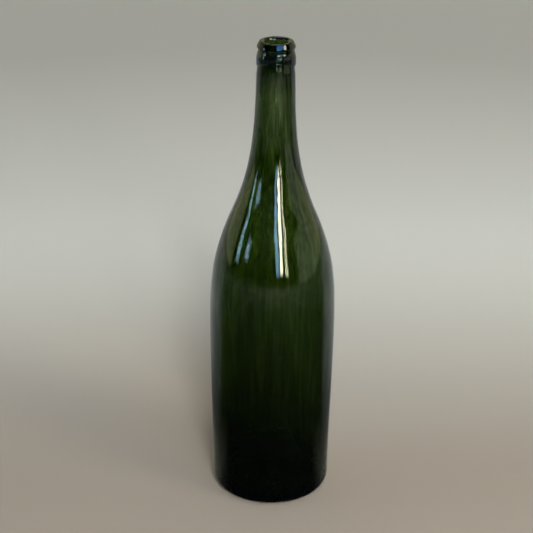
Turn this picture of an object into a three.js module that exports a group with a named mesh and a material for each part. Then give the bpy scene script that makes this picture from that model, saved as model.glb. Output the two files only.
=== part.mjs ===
// A hand-blown magnum bottle: one blown body with a pushed-up base, a collar of glass laid round the
// top of the neck, and a rounded lip laid on the neck's end. Millimetres, +Z up, standing on z = 0,
// round the Z axis. Every piece is a solid of revolution, drawn as an outline of radius and height.
import * as THREE from 'three';

// Driving dimensions of the blown body's outside.
const BODY = { baseRadius: 50.2, heelRadius: 9.7, widestRadius: 52.5, widestZ: 156 };
const SHOULDER_TURN = { radius: 34, z: 255.5, slopeDegrees: 66.9 };
const NECK = { topRadius: 15.65, topZ: 369.5, pinchRadius: 15 };

// The collar laid round the neck and the lip laid on its end, with a groove between them.
const COLLAR = { bottomZ: 376.6, edgeRadius: 15.3, radius: 15.85, widestZ: 382.6 };
const GROOVE = { radius: 14.4, z: 390.5 };
const LIP = { radius: 15.45, beadRadius: 3.15, landInner: 11.3, landOuter: 12.6, mouthRounding: 2.8 };
const MOUTH_RADIUS = 9.35;
const HEIGHT = 397;

// Glass thickness, the part of the neck under the collar, and the gap between pieces that touch.
const WALL = { neck: 4.1, shoulder: 4.6, body: 5.1, heel: 6.9 };
const SEAT = { bottomRadius: 14.2, topRadius: 13.5 };
const FUSED_GAP = 0.3;

// The pushed-up base, and the trough that it leaves round the inside of the heel.
const PUNT = { footRadius: 36.7, rise: 34.7, thickness: 7.1, footPull: 14.3, crownPull: 14.3 };
const TROUGH = { radius: 40.2, z: 10.8 };
const INSIDE = { neckZ: 347, mouthZ: 373, heelZ: 26.5 };

const SEGMENTS_ROUND = 52;

const at = (radius, z) => new THREE.Vector2(radius, z);
const above = (point, distance) => at(point.x, point.y + distance);
const outward = (point, distance) => at(point.x + distance, point.y);

// The point where the shoulder's bulge turns into the neck's hollow sweep, and the way up it.
const turnPoint = at(SHOULDER_TURN.radius, SHOULDER_TURN.z);
const turnAngle = THREE.MathUtils.degToRad(SHOULDER_TURN.slopeDegrees);
const turnUp = at(-Math.cos(turnAngle), Math.sin(turnAngle));
const turnOutward = at(turnUp.y, -turnUp.x);

function upTheTurn(start, distance) {
  return start.clone().addScaledVector(turnUp, distance);
}

function bezier(steps, start, startPull, endPull, end) {
  return new THREE.CubicBezierCurve(start, startPull, endPull, end).getPoints(steps);
}

// An elliptical arc, its angles in degrees from the outward direction.
function arc(steps, centre, radiusAcross, radiusUp, fromDegrees, toDegrees) {
  const from = THREE.MathUtils.degToRad(fromDegrees);
  const to = THREE.MathUtils.degToRad(toDegrees);
  return new THREE.EllipseCurve(centre.x, centre.y, radiusAcross, radiusUp, from, to).getPoints(steps);
}

// Joins stretches of outline and drops a point that repeats the one before it.
function joinOutline(...stretches) {
  const outline = [];
  for (const point of stretches.flat()) {
    const last = outline[outline.length - 1];
    if (!last || last.distanceTo(point) > 1e-3) outline.push(point);
  }
  return outline;
}

// Turns an outline that runs up the outside and down the inside into a solid round the Z axis.
function turnedSolid(name, outline, colour) {
  const geometry = new THREE.LatheGeometry(outline, SEGMENTS_ROUND);
  geometry.rotateX(Math.PI / 2);
  const glass = new THREE.MeshStandardMaterial({
    color: colour, roughness: 0.08, metalness: 0, transparent: true, opacity: 0.6,
  });
  const mesh = new THREE.Mesh(geometry, glass);
  mesh.name = name;
  return mesh;
}

function puntOutside() {
  const crown = at(0, PUNT.rise);
  const foot = at(PUNT.footRadius, 0);
  return bezier(7, crown, outward(crown, PUNT.crownPull), at(foot.x - 3.5, PUNT.footPull), foot);
}

// Standing ring, heel, flaring body, shoulder and neck.
function wallOutside() {
  const heelCentre = at(BODY.baseRadius - BODY.heelRadius, BODY.heelRadius);
  const heelTop = at(BODY.baseRadius, BODY.heelRadius);
  const widest = at(BODY.widestRadius, BODY.widestZ);
  const neckTop = at(NECK.topRadius, NECK.topZ);
  return [
    ...arc(5, heelCentre, BODY.heelRadius, BODY.heelRadius, -90, 0),
    ...bezier(4, heelTop, above(heelTop, 41), above(widest, -46), widest),
    ...bezier(9, widest, above(widest, 41), upTheTurn(turnPoint, -42.6), turnPoint),
    ...bezier(10, turnPoint, upTheTurn(turnPoint, 39.5), at(neckTop.x + 1, neckTop.y - 47.5), neckTop),
  ];
}

// The pinched neck below the collar, the ledge that the collar stands on and the seat that it wraps.
function collarSeat() {
  const ledgeZ = COLLAR.bottomZ - FUSED_GAP;
  return [
    at(NECK.pinchRadius, ledgeZ - 1.2),
    at(NECK.pinchRadius, ledgeZ),
    at(SEAT.bottomRadius, ledgeZ),
    at(SEAT.topRadius, GROOVE.z),
  ];
}

function wallInside() {
  const mouth = at(MOUTH_RADIUS, INSIDE.mouthZ);
  const neck = at(NECK.topRadius + 0.9 - WALL.neck, INSIDE.neckZ);
  const turn = turnPoint.clone().addScaledVector(turnOutward, -WALL.shoulder);
  const widest = at(BODY.widestRadius - WALL.body, BODY.widestZ);
  const heel = at(BODY.baseRadius - WALL.heel, INSIDE.heelZ);
  return [
    at(MOUTH_RADIUS, GROOVE.z),
    ...bezier(4, mouth, above(mouth, -9), at(neck.x - 0.3, neck.y + 9), neck),
    ...bezier(8, neck, at(neck.x + 1, neck.y - 38), upTheTurn(turn, 35.7), turn),
    ...bezier(8, turn, upTheTurn(turn, -38.8), above(widest, 38.8), widest),
    ...bezier(4, widest, above(widest, -44), at(heel.x + 0.4, heel.y + 35), heel),
  ];
}

function puntInside() {
  const heel = at(BODY.baseRadius - WALL.heel, INSIDE.heelZ);
  const trough = at(TROUGH.radius, TROUGH.z);
  const crown = at(0, PUNT.rise + PUNT.thickness);
  return [
    ...bezier(4, heel, above(heel, -10), outward(trough, 2), trough),
    ...bezier(7, trough, at(trough.x - 3.5, trough.y + 4.6), outward(crown, PUNT.crownPull + 3), crown),
  ];
}

function bottleBody() {
  const outline = joinOutline(puntOutside(), wallOutside(), collarSeat(), wallInside(), puntInside());
  return turnedSolid('bottle_body', outline, 0x24381a);
}

function neckCollar() {
  const innerBottom = at(SEAT.bottomRadius + FUSED_GAP, COLLAR.bottomZ);
  const edge = at(COLLAR.edgeRadius, COLLAR.bottomZ);
  const widest = at(COLLAR.radius, COLLAR.widestZ);
  const groove = at(GROOVE.radius, GROOVE.z);
  const outline = joinOutline(
    [innerBottom],
    bezier(5, edge, at(widest.x, edge.y + 1), above(widest, -3), widest),
    bezier(5, widest, above(widest, 4), at(groove.x + 0.6, groove.y - 2.4), groove),
    [at(SEAT.topRadius + FUSED_GAP, GROOVE.z), innerBottom],
  );
  return turnedSolid('neck_collar', outline, 0x14281f);
}

function mouthLip() {
  const underside = at(MOUTH_RADIUS, GROOVE.z + FUSED_GAP);
  const beadCentre = at(LIP.radius - LIP.beadRadius, HEIGHT - LIP.beadRadius);
  const roundingCentre = at(LIP.landInner, HEIGHT - LIP.mouthRounding);
  const outline = joinOutline(
    [underside, at(GROOVE.radius, underside.y)],
    arc(7, beadCentre, LIP.beadRadius, LIP.beadRadius, -38, 84),
    [at(LIP.landOuter, HEIGHT), at(LIP.landInner, HEIGHT)],
    arc(4, roundingCentre, LIP.landInner - MOUTH_RADIUS, LIP.mouthRounding, 90, 180),
    [underside],
  );
  return turnedSolid('mouth_lip', outline, 0x14281f);
}

const bottle = new THREE.Group();
bottle.add(bottleBody(), neckCollar(), mouthLip());

export default bottle;
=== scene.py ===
"""Looks for a hand-blown magnum bottle of green glass: the blown body, the collar laid round its neck
and the lip laid on the neck's end, each as a finished glass mesh in place of its plain CAD solid."""
import bisect
import math
import random

import bmesh
import bpy
from mathutils import Matrix, Vector, noise


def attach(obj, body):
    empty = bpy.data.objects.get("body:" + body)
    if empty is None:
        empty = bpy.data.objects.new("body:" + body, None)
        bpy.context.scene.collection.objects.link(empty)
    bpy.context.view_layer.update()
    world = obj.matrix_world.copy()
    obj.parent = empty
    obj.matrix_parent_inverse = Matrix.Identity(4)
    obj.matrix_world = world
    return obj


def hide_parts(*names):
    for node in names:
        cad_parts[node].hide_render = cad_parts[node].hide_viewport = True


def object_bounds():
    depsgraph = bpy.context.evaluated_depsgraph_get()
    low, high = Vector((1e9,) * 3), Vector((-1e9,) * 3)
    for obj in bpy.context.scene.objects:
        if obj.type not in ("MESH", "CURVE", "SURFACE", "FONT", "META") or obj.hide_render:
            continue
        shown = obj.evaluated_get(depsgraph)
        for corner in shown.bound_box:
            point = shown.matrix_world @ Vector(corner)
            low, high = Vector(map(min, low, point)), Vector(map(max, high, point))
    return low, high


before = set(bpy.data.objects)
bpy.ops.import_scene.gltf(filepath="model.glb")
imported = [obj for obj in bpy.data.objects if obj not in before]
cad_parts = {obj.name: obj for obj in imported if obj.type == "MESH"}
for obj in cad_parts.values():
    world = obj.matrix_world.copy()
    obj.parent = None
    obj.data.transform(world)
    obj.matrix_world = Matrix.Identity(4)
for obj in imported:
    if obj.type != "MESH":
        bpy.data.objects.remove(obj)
cad_box = [list(corner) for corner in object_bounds()]

MM = 0.001

# The outlines, in millimetres of radius and height, follow the CAD's driving dimensions.
BODY = {"base": 50.2, "heel": 9.7, "widest": 52.5, "widest_z": 156.0}
TURN = {"radius": 34.0, "z": 255.5, "slope": math.radians(66.9)}
NECK = {"top": 15.65, "top_z": 369.5, "pinch": 15.0}
COLLAR = {"bottom_z": 376.6, "radius": 15.85, "widest_up": 4.2, "tilt": 5.6, "droop": 3.5}
GROOVE = {"radius": 14.0, "z": 390.6}
LIP = {"radius": 15.45, "bead": 3.15, "land_inner": 11.5, "rounding": 3.0}
MOUTH = 9.35
HEIGHT = cad_box[1][2] / MM
WALL = {"neck": 4.1, "shoulder": 4.6, "body": 5.1, "heel": 6.9}
SEAT = {"bottom": 14.2, "top": 13.5}
PUNT = {"foot": 36.7, "rise": 34.7, "thickness": 7.1, "foot_pull": 14.3, "crown_pull": 14.3}
FOOT_ROUNDING = {"across": 0.85, "up": 0.7}
PONTIL_RING = {"radius": 7.0, "width": 1.3, "depth": 0.8}
TROUGH = {"radius": 40.2, "z": 10.8}
INSIDE = {"neck_z": 347.0, "mouth_z": 373.0, "heel_z": 26.5}
LEAN = {"from_z": 60.0, "at_top": 1.2}

# Bubbles in the blown glass: heights and radii in millimetres.
SEEDS = {"count": 150, "seed": 17, "low_z": 26.0, "high_z": 346.0, "smallest": 0.28, "largest": 1.13}

# The share of red, green and blue that a glass surface lets through: unstreaked glass, and a painted shade,
# darker and bluer, on the glass just under the collar.
CLEAR = (1, 1, 1)
UNDER_COLLAR_PAINTED_SHADE = (0.55, 0.80, 0.84)

# Each glass: how far its drawn streaks darken red, green and blue, the share of each that its body doesn't
# soak up, and how fast it soaks up the rest, per metre.
BODY_GLASS = {"streak": (0.58, 0.50, 0.66), "passing_colour": (0.375, 0.50, 0.05), "density": 422.0}
COLLAR_GLASS = {"streak": (0.30, 0.24, 0.26), "passing_colour": (0.03, 0.47, 0.37), "density": 1250.0}
LIP_GLASS = {"streak": (0.28, 0.24, 0.30), "passing_colour": (0.34, 0.48, 0.08), "density": 640.0}
COLLAR_DULLNESS = 0.05

# Heights in metres between which each of these grows to full strength.
DRAWN_STREAKS = (0.20, 0.31)
# The painted shade under the collar grows in between these heights.
UNDER_COLLAR_SHADE_HEIGHTS = (0.370, 0.376)
CHAFED_HEEL = (0.050, 0.008)
WORN_FOOT = (0.0022, 0.0)

# How far laid-on glass sinks into the glass under it, so that light passes as through fused glass.
FUSED = 0.04

# Points round each ring of a mesh.
ROUND_BODY = 184
ROUND_NECK = 160

# The camera's place in metres, its tilt down and its roll in degrees, its lens and sensor in millimetres.
CAMERA = {"place": (-0.0050, -1.104, 0.6955), "pitch": 24.0, "roll": 0.5, "lens": 97.9, "sensor": 36.0}

# The point, in metres, that the lights face.
LIT_POINT = Vector((0, 0, 0.26))

# The floor and the two cards that only reflections see, in metres. The back card goes half_turn degrees
# round to each side.
FLOOR_RADIUS = 9.0
GREY_CARD = {"inner": 0.047, "outer": 8.9, "lift": 0.0015}
BACK_CARD = {"radius": 3.0, "height": 2.0, "half_turn": 90.0}


# ---------- outlines ----------

def bezier(steps, start, start_pull, end_pull, end):
    points = []
    for i in range(steps + 1):
        t = i / steps
        s = 1 - t
        weights = (s ** 3, 3 * s * s * t, 3 * s * t * t, t ** 3)
        corners = (start, start_pull, end_pull, end)
        points.append(tuple(sum(w * c[k] for w, c in zip(weights, corners)) for k in (0, 1)))
    return points


def arc(steps, centre, across, up, start_degrees, end_degrees):
    points = []
    for i in range(steps + 1):
        angle = math.radians(start_degrees + (end_degrees - start_degrees) * i / steps)
        points.append((centre[0] + across * math.cos(angle), centre[1] + up * math.sin(angle)))
    return points


def line(steps, start, end):
    return [tuple(a + (b - a) * i / steps for a, b in zip(start, end)) for i in range(steps + 1)]


def join(*stretches):
    outline = []
    for point in (p for stretch in stretches for p in stretch):
        if not outline or math.dist(outline[-1], point) > 1e-3:
            outline.append(point)
    return outline


def up_the_turn(start, distance):
    return (start[0] - distance * math.cos(TURN["slope"]), start[1] + distance * math.sin(TURN["slope"]))


def punt_outside():
    crown = (0.0, PUNT["rise"])
    across, up = FOOT_ROUNDING["across"], FOOT_ROUNDING["up"]
    foot = (PUNT["foot"] + 0.5, up)
    rise = bezier(44, crown, (PUNT["crown_pull"], crown[1]), (PUNT["foot"] - 3.2, PUNT["foot_pull"]), foot)
    return join(rise, arc(5, (foot[0] + across, up), across, up, 180, 270))


def wall_outside():
    heel_centre = (BODY["base"] - BODY["heel"], BODY["heel"])
    heel_top = (BODY["base"], BODY["heel"])
    widest = (BODY["widest"], BODY["widest_z"])
    turn = (TURN["radius"], TURN["z"])
    neck_top = (NECK["top"], NECK["top_z"])
    pinch = (NECK["pinch"], COLLAR["bottom_z"] - 0.6)
    return join(
        arc(16, heel_centre, BODY["heel"], BODY["heel"], -90, 0),
        bezier(56, heel_top, (heel_top[0], heel_top[1] + 41), (widest[0], widest[1] - 46), widest),
        bezier(56, widest, (widest[0], widest[1] + 41), up_the_turn(turn, -42.6), turn),
        bezier(56, turn, up_the_turn(turn, 39.5), (neck_top[0] + 1, neck_top[1] - 47.5), neck_top),
        bezier(8, neck_top, (neck_top[0] - 0.05, neck_top[1] + 1.6), (pinch[0], pinch[1] - 1.6), pinch),
        bezier(4, pinch, (pinch[0], pinch[1] + 0.4), (SEAT["bottom"] + 0.3, pinch[1] + 1.2),
               (SEAT["bottom"], pinch[1] + 2.2)),
        line(8, (SEAT["bottom"], pinch[1] + 2.2), (SEAT["top"], GROOVE["z"])),
    )


def wall_inside():
    mouth = (MOUTH, INSIDE["mouth_z"])
    neck = (NECK["top"] + 0.9 - WALL["neck"], INSIDE["neck_z"])
    outward = (math.sin(TURN["slope"]), math.cos(TURN["slope"]))
    turn = (TURN["radius"] - WALL["shoulder"] * outward[0], TURN["z"] - WALL["shoulder"] * outward[1])
    widest = (BODY["widest"] - WALL["body"], BODY["widest_z"])
    heel = (BODY["base"] - WALL["heel"], INSIDE["heel_z"])
    return join(
        line(4, (SEAT["top"], GROOVE["z"]), (MOUTH, GROOVE["z"])),
        line(8, (MOUTH, GROOVE["z"]), mouth),
        bezier(14, mouth, (mouth[0], mouth[1] - 9), (neck[0] - 0.3, neck[1] + 9), neck),
        bezier(44, neck, (neck[0] + 1, neck[1] - 38), up_the_turn(turn, 35.7), turn),
        bezier(50, turn, up_the_turn(turn, -38.8), (widest[0], widest[1] + 38.8), widest),
        bezier(46, widest, (widest[0], widest[1] - 44), (heel[0] + 0.4, heel[1] + 35), heel),
    )


def punt_inside():
    heel = (BODY["base"] - WALL["heel"], INSIDE["heel_z"])
    trough = (TROUGH["radius"] - 0.8, TROUGH["z"])
    crown = (0.0, PUNT["rise"] + PUNT["thickness"])
    return join(
        bezier(14, heel, (heel[0], heel[1] - 10), (trough[0] + 2.6, trough[1]), trough),
        bezier(40, trough, (trough[0] - 3.4, trough[1]), (PUNT["crown_pull"] + 4, crown[1]), crown),
    )


OUTSIDE = join(punt_outside(), wall_outside())
INSIDE_WALL = join(wall_inside(), punt_inside())


# ---------- the uneven surface of blown glass ----------

def swell(angle, height, turns, length, seed):
    """Smooth noise round the bottle: turns sets its scale round the axis, length its scale in mm."""
    place = Vector((turns * math.cos(angle), turns * math.sin(angle), height / length + seed))
    return noise.noise(place)


def outer_wave(angle, radius, z):
    """How far the blown outside stands off its round outline, in millimetres."""
    standing = min(1.0, z / 14.0)
    slow = 0.30 * swell(angle, z, 0.9, 95.0, 3.0)
    ripple = 0.11 * swell(angle, z, 4.2, 19.0, 11.0)
    fine = 0.022 * swell(angle, z, 9.0, 8.0, 31.0)
    drawn = 0.06 * swell(angle, z, 9.0, 170.0, 23.0) * min(1.0, max(0.0, (z - 200.0) / 80.0))
    return standing * min(1.0, radius / 16.0) * (slow + ripple + fine + drawn)


def inner_wave(angle, radius, z):
    """How far the inside stands off its round outline: blown glass is more uneven there."""
    slow = 0.55 * swell(angle, z, 1.1, 70.0, 41.0)
    ripple = 0.20 * swell(angle, z, 4.0, 26.0, 53.0)
    drawn = 0.22 * swell(angle, z, 6.0, 190.0, 67.0) * min(1.0, max(0.0, (z - 190.0) / 90.0))
    keep_mouth = min(1.0, max(0.15, (GROOVE["z"] - z) / 12.0))
    return keep_mouth * min(1.0, radius / 14.0) * (slow + ripple + drawn)


def smooth_step(value, low, high):
    t = min(1.0, max(0.0, (value - low) / (high - low)))
    return t * t * (3 - 2 * t)


def collar_tilt(angle, z):
    """The collar was laid on askew, so its lower edge runs higher at the front and droops at the back."""
    below = smooth_step(z, 350.0, COLLAR["bottom_z"])
    above = 1 - max(0.0, z - COLLAR["bottom_z"]) / (GROOVE["z"] - COLLAR["bottom_z"])
    askew = -math.sin(angle) * COLLAR["tilt"] - COLLAR["droop"] * max(0.0, math.sin(angle)) ** 2
    return askew * below * max(0.0, above)


def pontil_scar(angle, radius):
    """A rough ring left in the middle of the pushed-up base where the blower's rod was broken off."""
    ring = math.exp(-((radius - PONTIL_RING["radius"]) / PONTIL_RING["width"]) ** 2)
    rough = 0.7 + 0.6 * swell(angle, radius * 6.0, 3.0, 8.0, 113.0)
    return -PONTIL_RING["depth"] * ring * rough


def lean(z):
    """The neck leans a hair to one side, in millimetres."""
    share = max(0.0, z - LEAN["from_z"]) / (HEIGHT - LEAN["from_z"])
    return LEAN["at_top"] * share ** 1.5


def leaning_point(angle, radius, z, raised=0.0):
    return Vector((radius * math.cos(angle) + lean(z), radius * math.sin(angle), z + raised))


# ---------- meshes ----------

def turned_mesh(stretches, around, closed):
    """Rings of points round the Z axis. Each stretch is an outline and its place(angle, radius, z), which
    gives every point in millimetres."""
    mesh = bmesh.new()
    rings = []
    for outline, place in stretches:
        for radius, z in outline:
            if radius < 1e-6:
                rings.append([mesh.verts.new(place(0.0, 0.0, z) * MM)])
                continue
            ring = []
            for i in range(around):
                ring.append(mesh.verts.new(place(2 * math.pi * i / around, radius, z) * MM))
            rings.append(ring)
    pairs = list(zip(rings, rings[1:]))
    if closed:
        pairs.append((rings[-1], rings[0]))
    for low, high in pairs:
        for i in range(around):
            j = (i + 1) % around
            corners = [low[i % len(low)], low[j % len(low)], high[j % len(high)], high[i % len(high)]]
            mesh.faces.new(list(dict.fromkeys(corners)))
    return mesh


def finished_piece(name, mesh, cad_node, material):
    data = bpy.data.meshes.new(name)
    for face in mesh.faces:
        face.smooth = True
    mesh.to_mesh(data)
    mesh.free()
    data.materials.append(material)
    piece = bpy.data.objects.new(name, data)
    bpy.context.scene.collection.objects.link(piece)
    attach(piece, "root")
    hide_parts(cad_node)


# ---------- the three pieces ----------

def radius_at(outline, z):
    """Radius of a wall outline at a height, from points sorted by height."""
    heights = [p[1] for p in outline]
    k = min(max(bisect.bisect_left(heights, z), 1), len(outline) - 1)
    (r0, z0), (r1, z1) = outline[k - 1], outline[k]
    return r0 + (r1 - r0) * (z - z0) / (z1 - z0)


def add_seeds(mesh):
    """Bubbles just under the outside, drawn out up the bottle: hollows whose faces look into their air."""
    draw = random.Random(SEEDS["seed"])
    outer = [p for p in OUTSIDE[-1:0:-1] if p[1] > BODY["heel"] and p[0] > 13]
    outer.sort(key=lambda p: p[1])
    for _ in range(SEEDS["count"]):
        z = SEEDS["low_z"] + (SEEDS["high_z"] - SEEDS["low_z"]) * draw.random() ** 1.5
        angle = draw.uniform(0, 2 * math.pi)
        size = SEEDS["smallest"] + (SEEDS["largest"] - SEEDS["smallest"]) * draw.random() ** 3
        middle = radius_at(outer, z) - 0.75 - size * draw.uniform(1.0, 1.6)
        tall = size * draw.uniform(1.1, 2.2)
        stretch = Matrix.Diagonal((size * MM, size * MM, tall * MM, 1))
        shape = Matrix.Translation(leaning_point(angle, middle, z) * MM) @ stretch
        made = bmesh.ops.create_icosphere(mesh, subdivisions=2, radius=1.0, matrix=shape)
        faces = {face for vert in made["verts"] for face in vert.link_faces}
        bmesh.ops.reverse_faces(mesh, faces=list(faces))


def make_body(material):
    def outer_place(angle, radius, z):
        raised = collar_tilt(angle, z)
        if z < 50.0:
            raised += pontil_scar(angle, radius)
        return leaning_point(angle, max(radius + outer_wave(angle, radius, z), 0.0), z, raised)

    def inner_place(angle, radius, z):
        return leaning_point(angle, max(radius + inner_wave(angle, radius, z), 0.0), z)

    # The inside starts where the outside ends, so its first point is left out.
    mesh = turned_mesh([(OUTSIDE, outer_place), (INSIDE_WALL[1:], inner_place)], ROUND_BODY, closed=False)
    add_seeds(mesh)
    finished_piece("blown_body", mesh, "bottle_body", material)


def make_collar(material):
    bottom = COLLAR["bottom_z"]
    full = COLLAR["radius"]
    groove = (GROOVE["radius"], GROOVE["z"])
    sunk_bottom = (NECK["pinch"] - 0.6, bottom + 0.6)
    edge = (full - 0.12, bottom + 1.3)
    widest = (full, bottom + COLLAR["widest_up"])
    outline = join(
        bezier(14, sunk_bottom, (NECK["pinch"] + 0.1, bottom - 0.1), (edge[0], bottom - 0.1), edge),
        bezier(10, edge, (full - 0.04, bottom + 2.2), (full, widest[1] - 1), widest),
        bezier(24, widest, (full, widest[1] + 4.6), (groove[0] + 0.85, groove[1] - 2.2), groove),
        line(3, groove, (SEAT["top"] - FUSED, groove[1])),
        line(10, (SEAT["top"] - FUSED, groove[1]), (SEAT["bottom"] - FUSED, bottom + 1.8)),
        line(3, (SEAT["bottom"] - FUSED, bottom + 1.8), sunk_bottom),
    )

    # Its outside is uneven, its lower edge wanders, and it is fuller just under the groove in front.
    def place(angle, radius, z):
        out = max(0.0, min(1.0, (radius - SEAT["bottom"]) / 1.0))
        low = max(0.0, 1 - (z - bottom) / 5.0)
        uneven = 0.16 * swell(angle, z, 1.4, 20.0, 83.0) + 0.03 * swell(angle, z, 4.0, 9.0, 91.0)
        fuller = smooth_step(z, 384.0, 387.6) * (1 - smooth_step(z, 388.6, GROOVE["z"]))
        r = radius + out * uneven + 0.55 * fuller * max(0.0, -math.sin(angle)) ** 2
        raised = collar_tilt(angle, z) - low * 0.5 * swell(angle, 0.0, 1.6, 1.0, 97.0)
        return leaning_point(angle, r, z, raised)

    mesh = turned_mesh([(outline, place)], ROUND_NECK, closed=True)
    finished_piece("laid_on_collar", mesh, "neck_collar", material)


def make_lip(material):
    groove = (GROOVE["radius"], GROOVE["z"] - FUSED)
    widest = (LIP["radius"], HEIGHT - LIP["bead"] - 1.2)
    shoulder = (LIP["radius"] - 1.35, HEIGHT - 1.3)
    land = (LIP["radius"] - LIP["bead"], HEIGHT)
    land_inner = LIP["land_inner"]
    rounding_z = HEIGHT - LIP["rounding"]
    outline = join(
        line(8, (MOUTH, groove[1]), groove),
        bezier(14, groove, (groove[0] + 0.05, groove[1] + 0.7), (widest[0] + 0.1, widest[1] - 1.6), widest),
        bezier(14, widest, (widest[0] - 0.15, widest[1] + 0.9), (shoulder[0] + 0.42, shoulder[1] - 0.95),
               shoulder),
        bezier(10, shoulder, (shoulder[0] - 0.35, HEIGHT - 0.12), (land[0] + 0.6, HEIGHT), land),
        line(3, land, (land_inner, HEIGHT)),
        arc(16, (land_inner, rounding_z), land_inner - MOUTH, LIP["rounding"], 90, 180),
        line(6, (MOUTH, rounding_z), (MOUTH, groove[1])),
    )

    # It is uneven above the groove, and true where it sits on the neck.
    def place(angle, radius, z):
        free = max(0.0, min(1.0, (z - GROOVE["z"]) / 2.0))
        uneven = 0.14 * swell(angle, z, 1.2, 14.0, 101.0) + 0.05 * swell(angle, z, 3.5, 6.0, 107.0)
        return leaning_point(angle, radius + free * uneven, z)

    mesh = turned_mesh([(outline, place)], ROUND_NECK, closed=True)
    finished_piece("laid_on_lip", mesh, "mouth_lip", material)


# ---------- materials ----------

def new_material(name):
    material = bpy.data.materials.new(name)
    material.use_nodes = True
    nodes = material.node_tree.nodes
    nodes.clear()
    return material, nodes, material.node_tree.links


def node(nodes, kind, **settings):
    made = nodes.new(kind)
    for key, value in settings.items():
        setattr(made, key, value)
    return made


def object_place(nodes, links):
    """The place in object space, in metres, and the same place split into its X, Y and Z."""
    place = node(nodes, "ShaderNodeTexCoord").outputs["Object"]
    split = node(nodes, "ShaderNodeSeparateXYZ")
    links.new(place, split.inputs["Vector"])
    return place, split.outputs


def distance_from_middle(nodes, links, place):
    length = node(nodes, "ShaderNodeVectorMath", operation="LENGTH")
    links.new(place, length.inputs[0])
    return length.outputs["Value"]


def stretched_noise(nodes, links, scale, stretch, detail=3.0, roughness=0.5):
    """Noise in object space, in turns per metre, drawn out along the bottle by stretch."""
    place = node(nodes, "ShaderNodeTexCoord")
    mapping = node(nodes, "ShaderNodeMapping")
    mapping.inputs["Scale"].default_value = (1, 1, 1 / stretch)
    pattern = node(nodes, "ShaderNodeTexNoise")
    pattern.inputs["Scale"].default_value = scale
    pattern.inputs["Detail"].default_value = detail
    pattern.inputs["Roughness"].default_value = roughness
    links.new(place.outputs["Object"], mapping.inputs["Vector"])
    links.new(mapping.outputs["Vector"], pattern.inputs["Vector"])
    return pattern.outputs["Fac"]


def mapped(nodes, links, value, low, high, to_low, to_high):
    spread = node(nodes, "ShaderNodeMapRange")
    spread.inputs["From Min"].default_value = low
    spread.inputs["From Max"].default_value = high
    spread.inputs["To Min"].default_value = to_low
    spread.inputs["To Max"].default_value = to_high
    links.new(value, spread.inputs["Value"])
    return spread.outputs["Result"]


def blend(nodes, links, value, low_colour, high_colour, easing="LINEAR"):
    """A colour that goes from low_colour at 0 to high_colour at 1."""
    ramp = node(nodes, "ShaderNodeValToRGB")
    ramp.color_ramp.interpolation = easing
    ramp.color_ramp.elements[0].color = (*low_colour, 1)
    ramp.color_ramp.elements[1].color = (*high_colour, 1)
    links.new(value, ramp.inputs["Fac"])
    return ramp.outputs["Color"]


def math_node(nodes, links, operation, first, second):
    made = node(nodes, "ShaderNodeMath", operation=operation)
    for socket, value in zip(made.inputs, (first, second)):
        if isinstance(value, (int, float)):
            socket.default_value = value
        else:
            links.new(value, socket)
    return made.outputs["Value"]


def glass_tint(nodes, links, height, streak, blown):
    """What the surface lets through: streaks drawn out along the bottle, stronger up the shoulder, and on
    the blown body a painted shade, darker and bluer, just under the collar.
    """
    fine_streaks = stretched_noise(nodes, links, 330.0, 22.0)
    broad_streaks = stretched_noise(nodes, links, 90.0, 9.0)
    streaks = math_node(nodes, links, "ADD", fine_streaks, broad_streaks)
    drawn = mapped(nodes, links, height, *DRAWN_STREAKS, 0.55, 1.0)
    shade = mapped(nodes, links, streaks, 0.93, 1.10, 1.0, 0.0)
    shade = math_node(nodes, links, "MULTIPLY", shade, drawn)
    tint = blend(nodes, links, shade, CLEAR, [1 - part for part in streak])
    if not blown:
        return tint
    # Painted shade: the blown body's glass is made darker and bluer just under the collar.
    painted_shade_under_collar = mapped(nodes, links, height, *UNDER_COLLAR_SHADE_HEIGHTS, 0.0, 1.0)
    both = node(nodes, "ShaderNodeMix", data_type="RGBA", blend_type="MULTIPLY")
    both.inputs[0].default_value = 1.0
    links.new(tint, both.inputs[6])
    links.new(blend(nodes, links, painted_shade_under_collar, CLEAR, UNDER_COLLAR_PAINTED_SHADE), both.inputs[7])
    return both.outputs[2]


def glass_roughness(nodes, links, height, dullness, blown):
    """Faint smears, fine dull spots and, on the blown body, a worn foot and a chafed heel."""
    smears = stretched_noise(nodes, links, 26.0, 1.6, 5.0, 0.6)
    scuffs = stretched_noise(nodes, links, 900.0, 0.5, 2.0, 0.7)
    rough = mapped(nodes, links, smears, 0.55, 0.80, dullness + 0.002, dullness + 0.03)
    spots = mapped(nodes, links, scuffs, 0.70, 0.76, 0.0, 0.12)
    rough = math_node(nodes, links, "ADD", rough, spots)
    if not blown:
        return rough
    foot = mapped(nodes, links, height, *WORN_FOOT, 0.0, 0.5)
    rough = math_node(nodes, links, "ADD", rough, foot)
    heel = mapped(nodes, links, height, *CHAFED_HEEL, 0.0, 0.45)
    specks = mapped(nodes, links, scuffs, 0.60, 0.66, 0.0, 1.0)
    return math_node(nodes, links, "ADD", rough, math_node(nodes, links, "MULTIPLY", heel, specks))


def glass_relief(nodes, links):
    """Shallow cords drawn up the glass, with a finer orange peel over them."""
    cords = stretched_noise(nodes, links, 120.0, 9.0, 2.0)
    peel = stretched_noise(nodes, links, 420.0, 1.5, 2.0)
    relief = math_node(nodes, links, "MULTIPLY", peel, 0.35)
    relief = math_node(nodes, links, "ADD", relief, cords)
    bump = node(nodes, "ShaderNodeBump")
    bump.inputs["Strength"].default_value = 0.25
    bump.inputs["Distance"].default_value = 0.0002
    links.new(relief, bump.inputs["Height"])
    return bump.outputs["Normal"]


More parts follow.
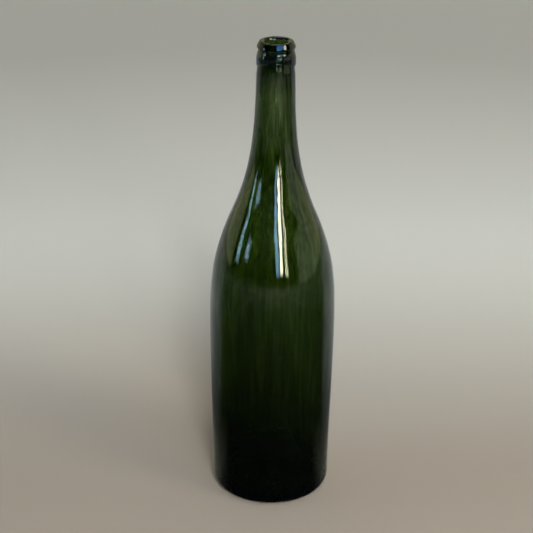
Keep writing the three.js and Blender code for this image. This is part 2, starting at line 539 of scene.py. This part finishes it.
def glass_material(name, streak, passing_colour, density, dullness=0.0, blown=False):
    material, nodes, links = new_material(name)
    shader = node(nodes, "ShaderNodeBsdfPrincipled")
    shader.inputs["Transmission Weight"].default_value = 1.0
    shader.inputs["IOR"].default_value = 1.52
    _, axes = object_place(nodes, links)
    links.new(glass_tint(nodes, links, axes["Z"], streak, blown), shader.inputs["Base Color"])
    links.new(glass_roughness(nodes, links, axes["Z"], dullness, blown), shader.inputs["Roughness"])
    links.new(glass_relief(nodes, links), shader.inputs["Normal"])
    absorption = node(nodes, "ShaderNodeVolumeAbsorption")
    absorption.inputs["Color"].default_value = (*passing_colour, 1)
    absorption.inputs["Density"].default_value = density
    output = node(nodes, "ShaderNodeOutputMaterial")
    links.new(shader.outputs["BSDF"], output.inputs["Surface"])
    links.new(absorption.outputs["Volume"], output.inputs["Volume"])
    return material


# ---------- studio ----------

def flat_piece(name, mesh, roughness):
    data = bpy.data.meshes.new(name)
    mesh.to_mesh(data)
    mesh.free()
    piece = bpy.data.objects.new(name, data)
    bpy.context.scene.collection.objects.link(piece)
    material, nodes, links = new_material(name + "_surface")
    shader = node(nodes, "ShaderNodeBsdfPrincipled")
    shader.inputs["Roughness"].default_value = roughness
    output = node(nodes, "ShaderNodeOutputMaterial")
    links.new(shader.outputs["BSDF"], output.inputs["Surface"])
    data.materials.append(material)
    return piece, shader, nodes, links


def reflected_card(name, low, high):
    """A card between two rows of points, seen only in reflections."""
    mesh = bmesh.new()
    low = [mesh.verts.new(point) for point in low]
    high = [mesh.verts.new(point) for point in high]
    for corners in zip(low, low[1:], high[1:], high):
        mesh.faces.new(corners)
    card, shader, nodes, links = flat_piece(name, mesh, 0.9)
    for ray in ("camera", "diffuse", "transmission", "volume_scatter", "shadow"):
        setattr(card, "visible_" + ray, False)
    return shader, nodes, links


def circle_point(radius, angle, z):
    return (radius * math.cos(angle), radius * math.sin(angle), z)


def make_floor():
    """A matt floor, brown-grey in front of the bottle and paler behind it, that glows faintly where it is
    too far off for the lights to reach."""
    mesh = bmesh.new()
    bmesh.ops.create_circle(mesh, cap_ends=True, segments=128, radius=FLOOR_RADIUS)
    _, shader, nodes, links = flat_piece("studio_floor", mesh, 0.8)
    place, axes = object_place(nodes, links)
    behind = mapped(nodes, links, axes["Y"], -0.05, 0.62, 0.0, 1.0)
    tone = blend(nodes, links, behind, (0.205, 0.175, 0.142), (0.45, 0.445, 0.405), "EASE")
    links.new(tone, shader.inputs["Base Color"])
    links.new(tone, shader.inputs["Emission Color"])
    glow = mapped(nodes, links, distance_from_middle(nodes, links, place), 1.4, 4.5, 0.0, 0.95)
    links.new(glow, shader.inputs["Emission Strength"])


def make_grey_card():
    """A grey card on the floor round the bottle, which stops reflections from washing out the glass. In
    front of the bottle it is nearly black close by and patchy further out, and behind the bottle it is
    paler. Close beside and behind the bottle it glows a little, which lights the sides of the heel."""
    steps = 96
    angles = [2 * math.pi * i / steps for i in range(steps + 1)]
    inner = [circle_point(GREY_CARD["inner"], angle, GREY_CARD["lift"]) for angle in angles]
    outer = [circle_point(GREY_CARD["outer"], angle, GREY_CARD["lift"]) for angle in angles]
    shader, nodes, links = reflected_card("grey_card", inner, outer)
    place, axes = object_place(nodes, links)
    far = distance_from_middle(nodes, links, place)

    backward = math_node(nodes, links, "DIVIDE", axes["Y"], far)
    backward = mapped(nodes, links, backward, 0.10, 0.32, 0.0, 1.0)
    front = mapped(nodes, links, far, 0.25, 1.3, 0.004, 0.13)
    patches = stretched_noise(nodes, links, 5.0, 1.0, 5.0, 0.65)
    front = math_node(nodes, links, "MULTIPLY", front, mapped(nodes, links, patches, 0.42, 0.60, 0.25, 2.2))
    back = mapped(nodes, links, far, 0.12, 0.46, 0.03, 0.40)
    back = math_node(nodes, links, "ADD", back, mapped(nodes, links, far, 0.8, 2.6, 0.0, 0.45))
    mix = node(nodes, "ShaderNodeMix", data_type="FLOAT")
    links.new(backward, mix.inputs[0])
    links.new(front, mix.inputs[2])
    links.new(back, mix.inputs[3])
    links.new(mix.outputs[0], shader.inputs["Base Color"])

    near = mapped(nodes, links, far, 0.058, 0.17, 0.19, 0.0)
    beside = mapped(nodes, links, axes["Y"], -0.034, -0.008, 0.0, 1.0)
    shader.inputs["Emission Color"].default_value = (1.0, 0.98, 0.80, 1)
    links.new(math_node(nodes, links, "MULTIPLY", near, beside), shader.inputs["Emission Strength"])


def make_back_card():
    """A pale curved card round the back of the bottle, which gives the glass its light rims. It glows most
    at its two ends, beside the bottle."""
    steps = 48
    reach = math.radians(BACK_CARD["half_turn"])
    angles = [math.pi / 2 - reach + 2 * reach * i / steps for i in range(steps + 1)]
    low = [circle_point(BACK_CARD["radius"], angle, 0.0) for angle in angles]
    high = [circle_point(BACK_CARD["radius"], angle, BACK_CARD["height"]) for angle in angles]
    shader, nodes, links = reflected_card("back_card", low, high)
    shader.inputs["Base Color"].default_value = (0, 0, 0, 1)
    _, axes = object_place(nodes, links)
    aside = math_node(nodes, links, "ABSOLUTE", axes["X"], 0.0)
    glow = mapped(nodes, links, aside, 1.3, 2.3, 0.42, 0.72)
    shader.inputs["Emission Color"].default_value = (0.96, 1.0, 0.66, 1)
    links.new(glow, shader.inputs["Emission Strength"])


def make_world():
    world = bpy.data.worlds.new("studio")
    world.use_nodes = True
    background = world.node_tree.nodes["Background"]
    background.inputs["Color"].default_value = (0.96, 0.98, 1.0, 1)
    background.inputs["Strength"].default_value = 0.42
    world.cycles_visibility.glossy = False
    world.cycles_visibility.diffuse = False
    bpy.context.scene.world = world


def soft_edged_glow(light, edge, leaves):
    """Fades a light out over the given share of its width and height, and hangs leaves in front of it: a
    pattern of that many turns per metre, or none at 0."""
    light.use_nodes = True
    nodes, links = light.node_tree.nodes, light.node_tree.links
    place = node(nodes, "ShaderNodeNewGeometry")
    split = node(nodes, "ShaderNodeSeparateXYZ")
    links.new(place.outputs["Parametric"], split.inputs["Vector"])
    level = 1.0
    for axis in ("X", "Y"):
        off_middle = math_node(nodes, links, "SUBTRACT", split.outputs[axis], 0.5)
        off_middle = math_node(nodes, links, "ABSOLUTE", off_middle, 0.0)
        fade = mapped(nodes, links, off_middle, 0.5, 0.5 - edge, 0.0, 1.0)
        level = math_node(nodes, links, "MULTIPLY", level, fade)
    if leaves:
        size = node(nodes, "ShaderNodeMapping")
        size.inputs["Scale"].default_value = (light.size, light.size_y, 1)
        pattern = node(nodes, "ShaderNodeTexNoise")
        pattern.inputs["Scale"].default_value = leaves
        pattern.inputs["Detail"].default_value = 4.0
        pattern.inputs["Roughness"].default_value = 0.6
        links.new(place.outputs["Parametric"], size.inputs["Vector"])
        links.new(size.outputs["Vector"], pattern.inputs["Vector"])
        gaps = mapped(nodes, links, pattern.outputs["Fac"], 0.46, 0.55, 0.06, 1.0)
        level = math_node(nodes, links, "MULTIPLY", level, gaps)
    links.new(level, nodes["Emission"].inputs["Strength"])


def panel_light(name, place, size, strength, colour, edge, leaves=0.0):
    """An area light that faces straight down, with its strength in watts per square metre."""
    width, height = size
    light = bpy.data.lights.new(name, "AREA")
    light.shape = "RECTANGLE"
    light.size = width
    light.size_y = height
    light.energy = strength * width * height
    light.color = colour
    soft_edged_glow(light, edge, leaves)
    lamp = bpy.data.objects.new(name, light)
    lamp.location = place
    lamp.visible_camera = False
    bpy.context.scene.collection.objects.link(lamp)
    return lamp


def softbox(name, bearing, climb, distance, size, strength, colour, edge=0.15, leaves=0.0):
    """A light that faces the bottle, which sees it at a bearing from the front and a climb above level, in
    degrees."""
    turn = math.radians(bearing)
    up = math.radians(climb)
    away = Vector((math.sin(turn) * math.cos(up), -math.cos(turn) * math.cos(up), math.sin(up)))
    lamp = panel_light(name, LIT_POINT + away * distance, size, strength, colour, edge, leaves)
    lamp.rotation_euler = away.to_track_quat("Z", "Y").to_euler()
    return lamp


def make_lights():
    softbox("left_window", -77, 15, 1.55, (0.30, 0.90), 32, (0.50, 0.78, 1.0), 0.10, 30.0)
    softbox("middle_sky", 8, 15, 1.57, (0.19, 0.90), 24, (0.36, 0.64, 1.0), 0.12)
    softbox("middle_sun", 16, 15, 1.57, (0.17, 0.86), 66, (1.0, 0.95, 0.80), 0.12)
    softbox("branches", 27, 13, 1.57, (0.20, 0.84), 60, (1.0, 0.97, 0.70), 0.1, 30.0)
    softbox("sky_gaps", -56, 9, 1.6, (0.34, 0.34), 34, (0.50, 0.76, 1.0), 0.3, 24.0)
    softbox("right_wall", 70, 4, 1.9, (1.7, 0.85), 2.1, (0.94, 1.0, 0.84), 0.10)
    softbox("front_fill", 0, 30, 5.0, (9.0, 4.6), 0.30, (0.92, 1.0, 0.92), 0.2)
    sky = softbox("upper_sky", 24, 40, 1.5, (0.92, 0.75), 17, (0.12, 0.42, 0.95))
    sun = softbox("upper_sun", 57, 38, 1.5, (0.50, 0.70), 36, (1.0, 0.95, 0.80))
    key = softbox("front_key", 5, 34, 3.0, (0.7, 0.7), 250, (1.0, 0.98, 0.95), 0.02)
    for light in (sky, sun, key):
        light.visible_transmission = False
    key.visible_glossy = False
    panel_light("overhead", (0, 0.7, 2.6), (3.6, 3.2), 3.2, (1.0, 0.98, 0.95), 0.02)


def make_camera():
    camera_data = bpy.data.cameras.new("camera")
    camera_data.sensor_width = CAMERA["sensor"]
    camera_data.lens = CAMERA["lens"]
    camera_data.clip_start = 0.05
    camera_data.clip_end = 60
    camera = bpy.data.objects.new("camera", camera_data)
    camera.location = CAMERA["place"]
    look = Matrix.Rotation(math.radians(90 - CAMERA["pitch"]), 4, "X")
    roll = Matrix.Rotation(math.radians(CAMERA["roll"]), 4, "Z")
    camera.matrix_world = Matrix.Translation(camera.location) @ look @ roll
    bpy.context.scene.collection.objects.link(camera)
    bpy.context.scene.camera = camera


make_camera()
make_world()
make_lights()
make_floor()
make_grey_card()
make_back_card()
make_body(glass_material("body_glass", **BODY_GLASS, blown=True))
make_collar(glass_material("collar_glass", **COLLAR_GLASS, dullness=COLLAR_DULLNESS))
make_lip(glass_material("lip_glass", **LIP_GLASS))

scene = bpy.context.scene
scene.view_settings.view_transform = "Standard"
scene.view_settings.look = "Medium High Contrast"
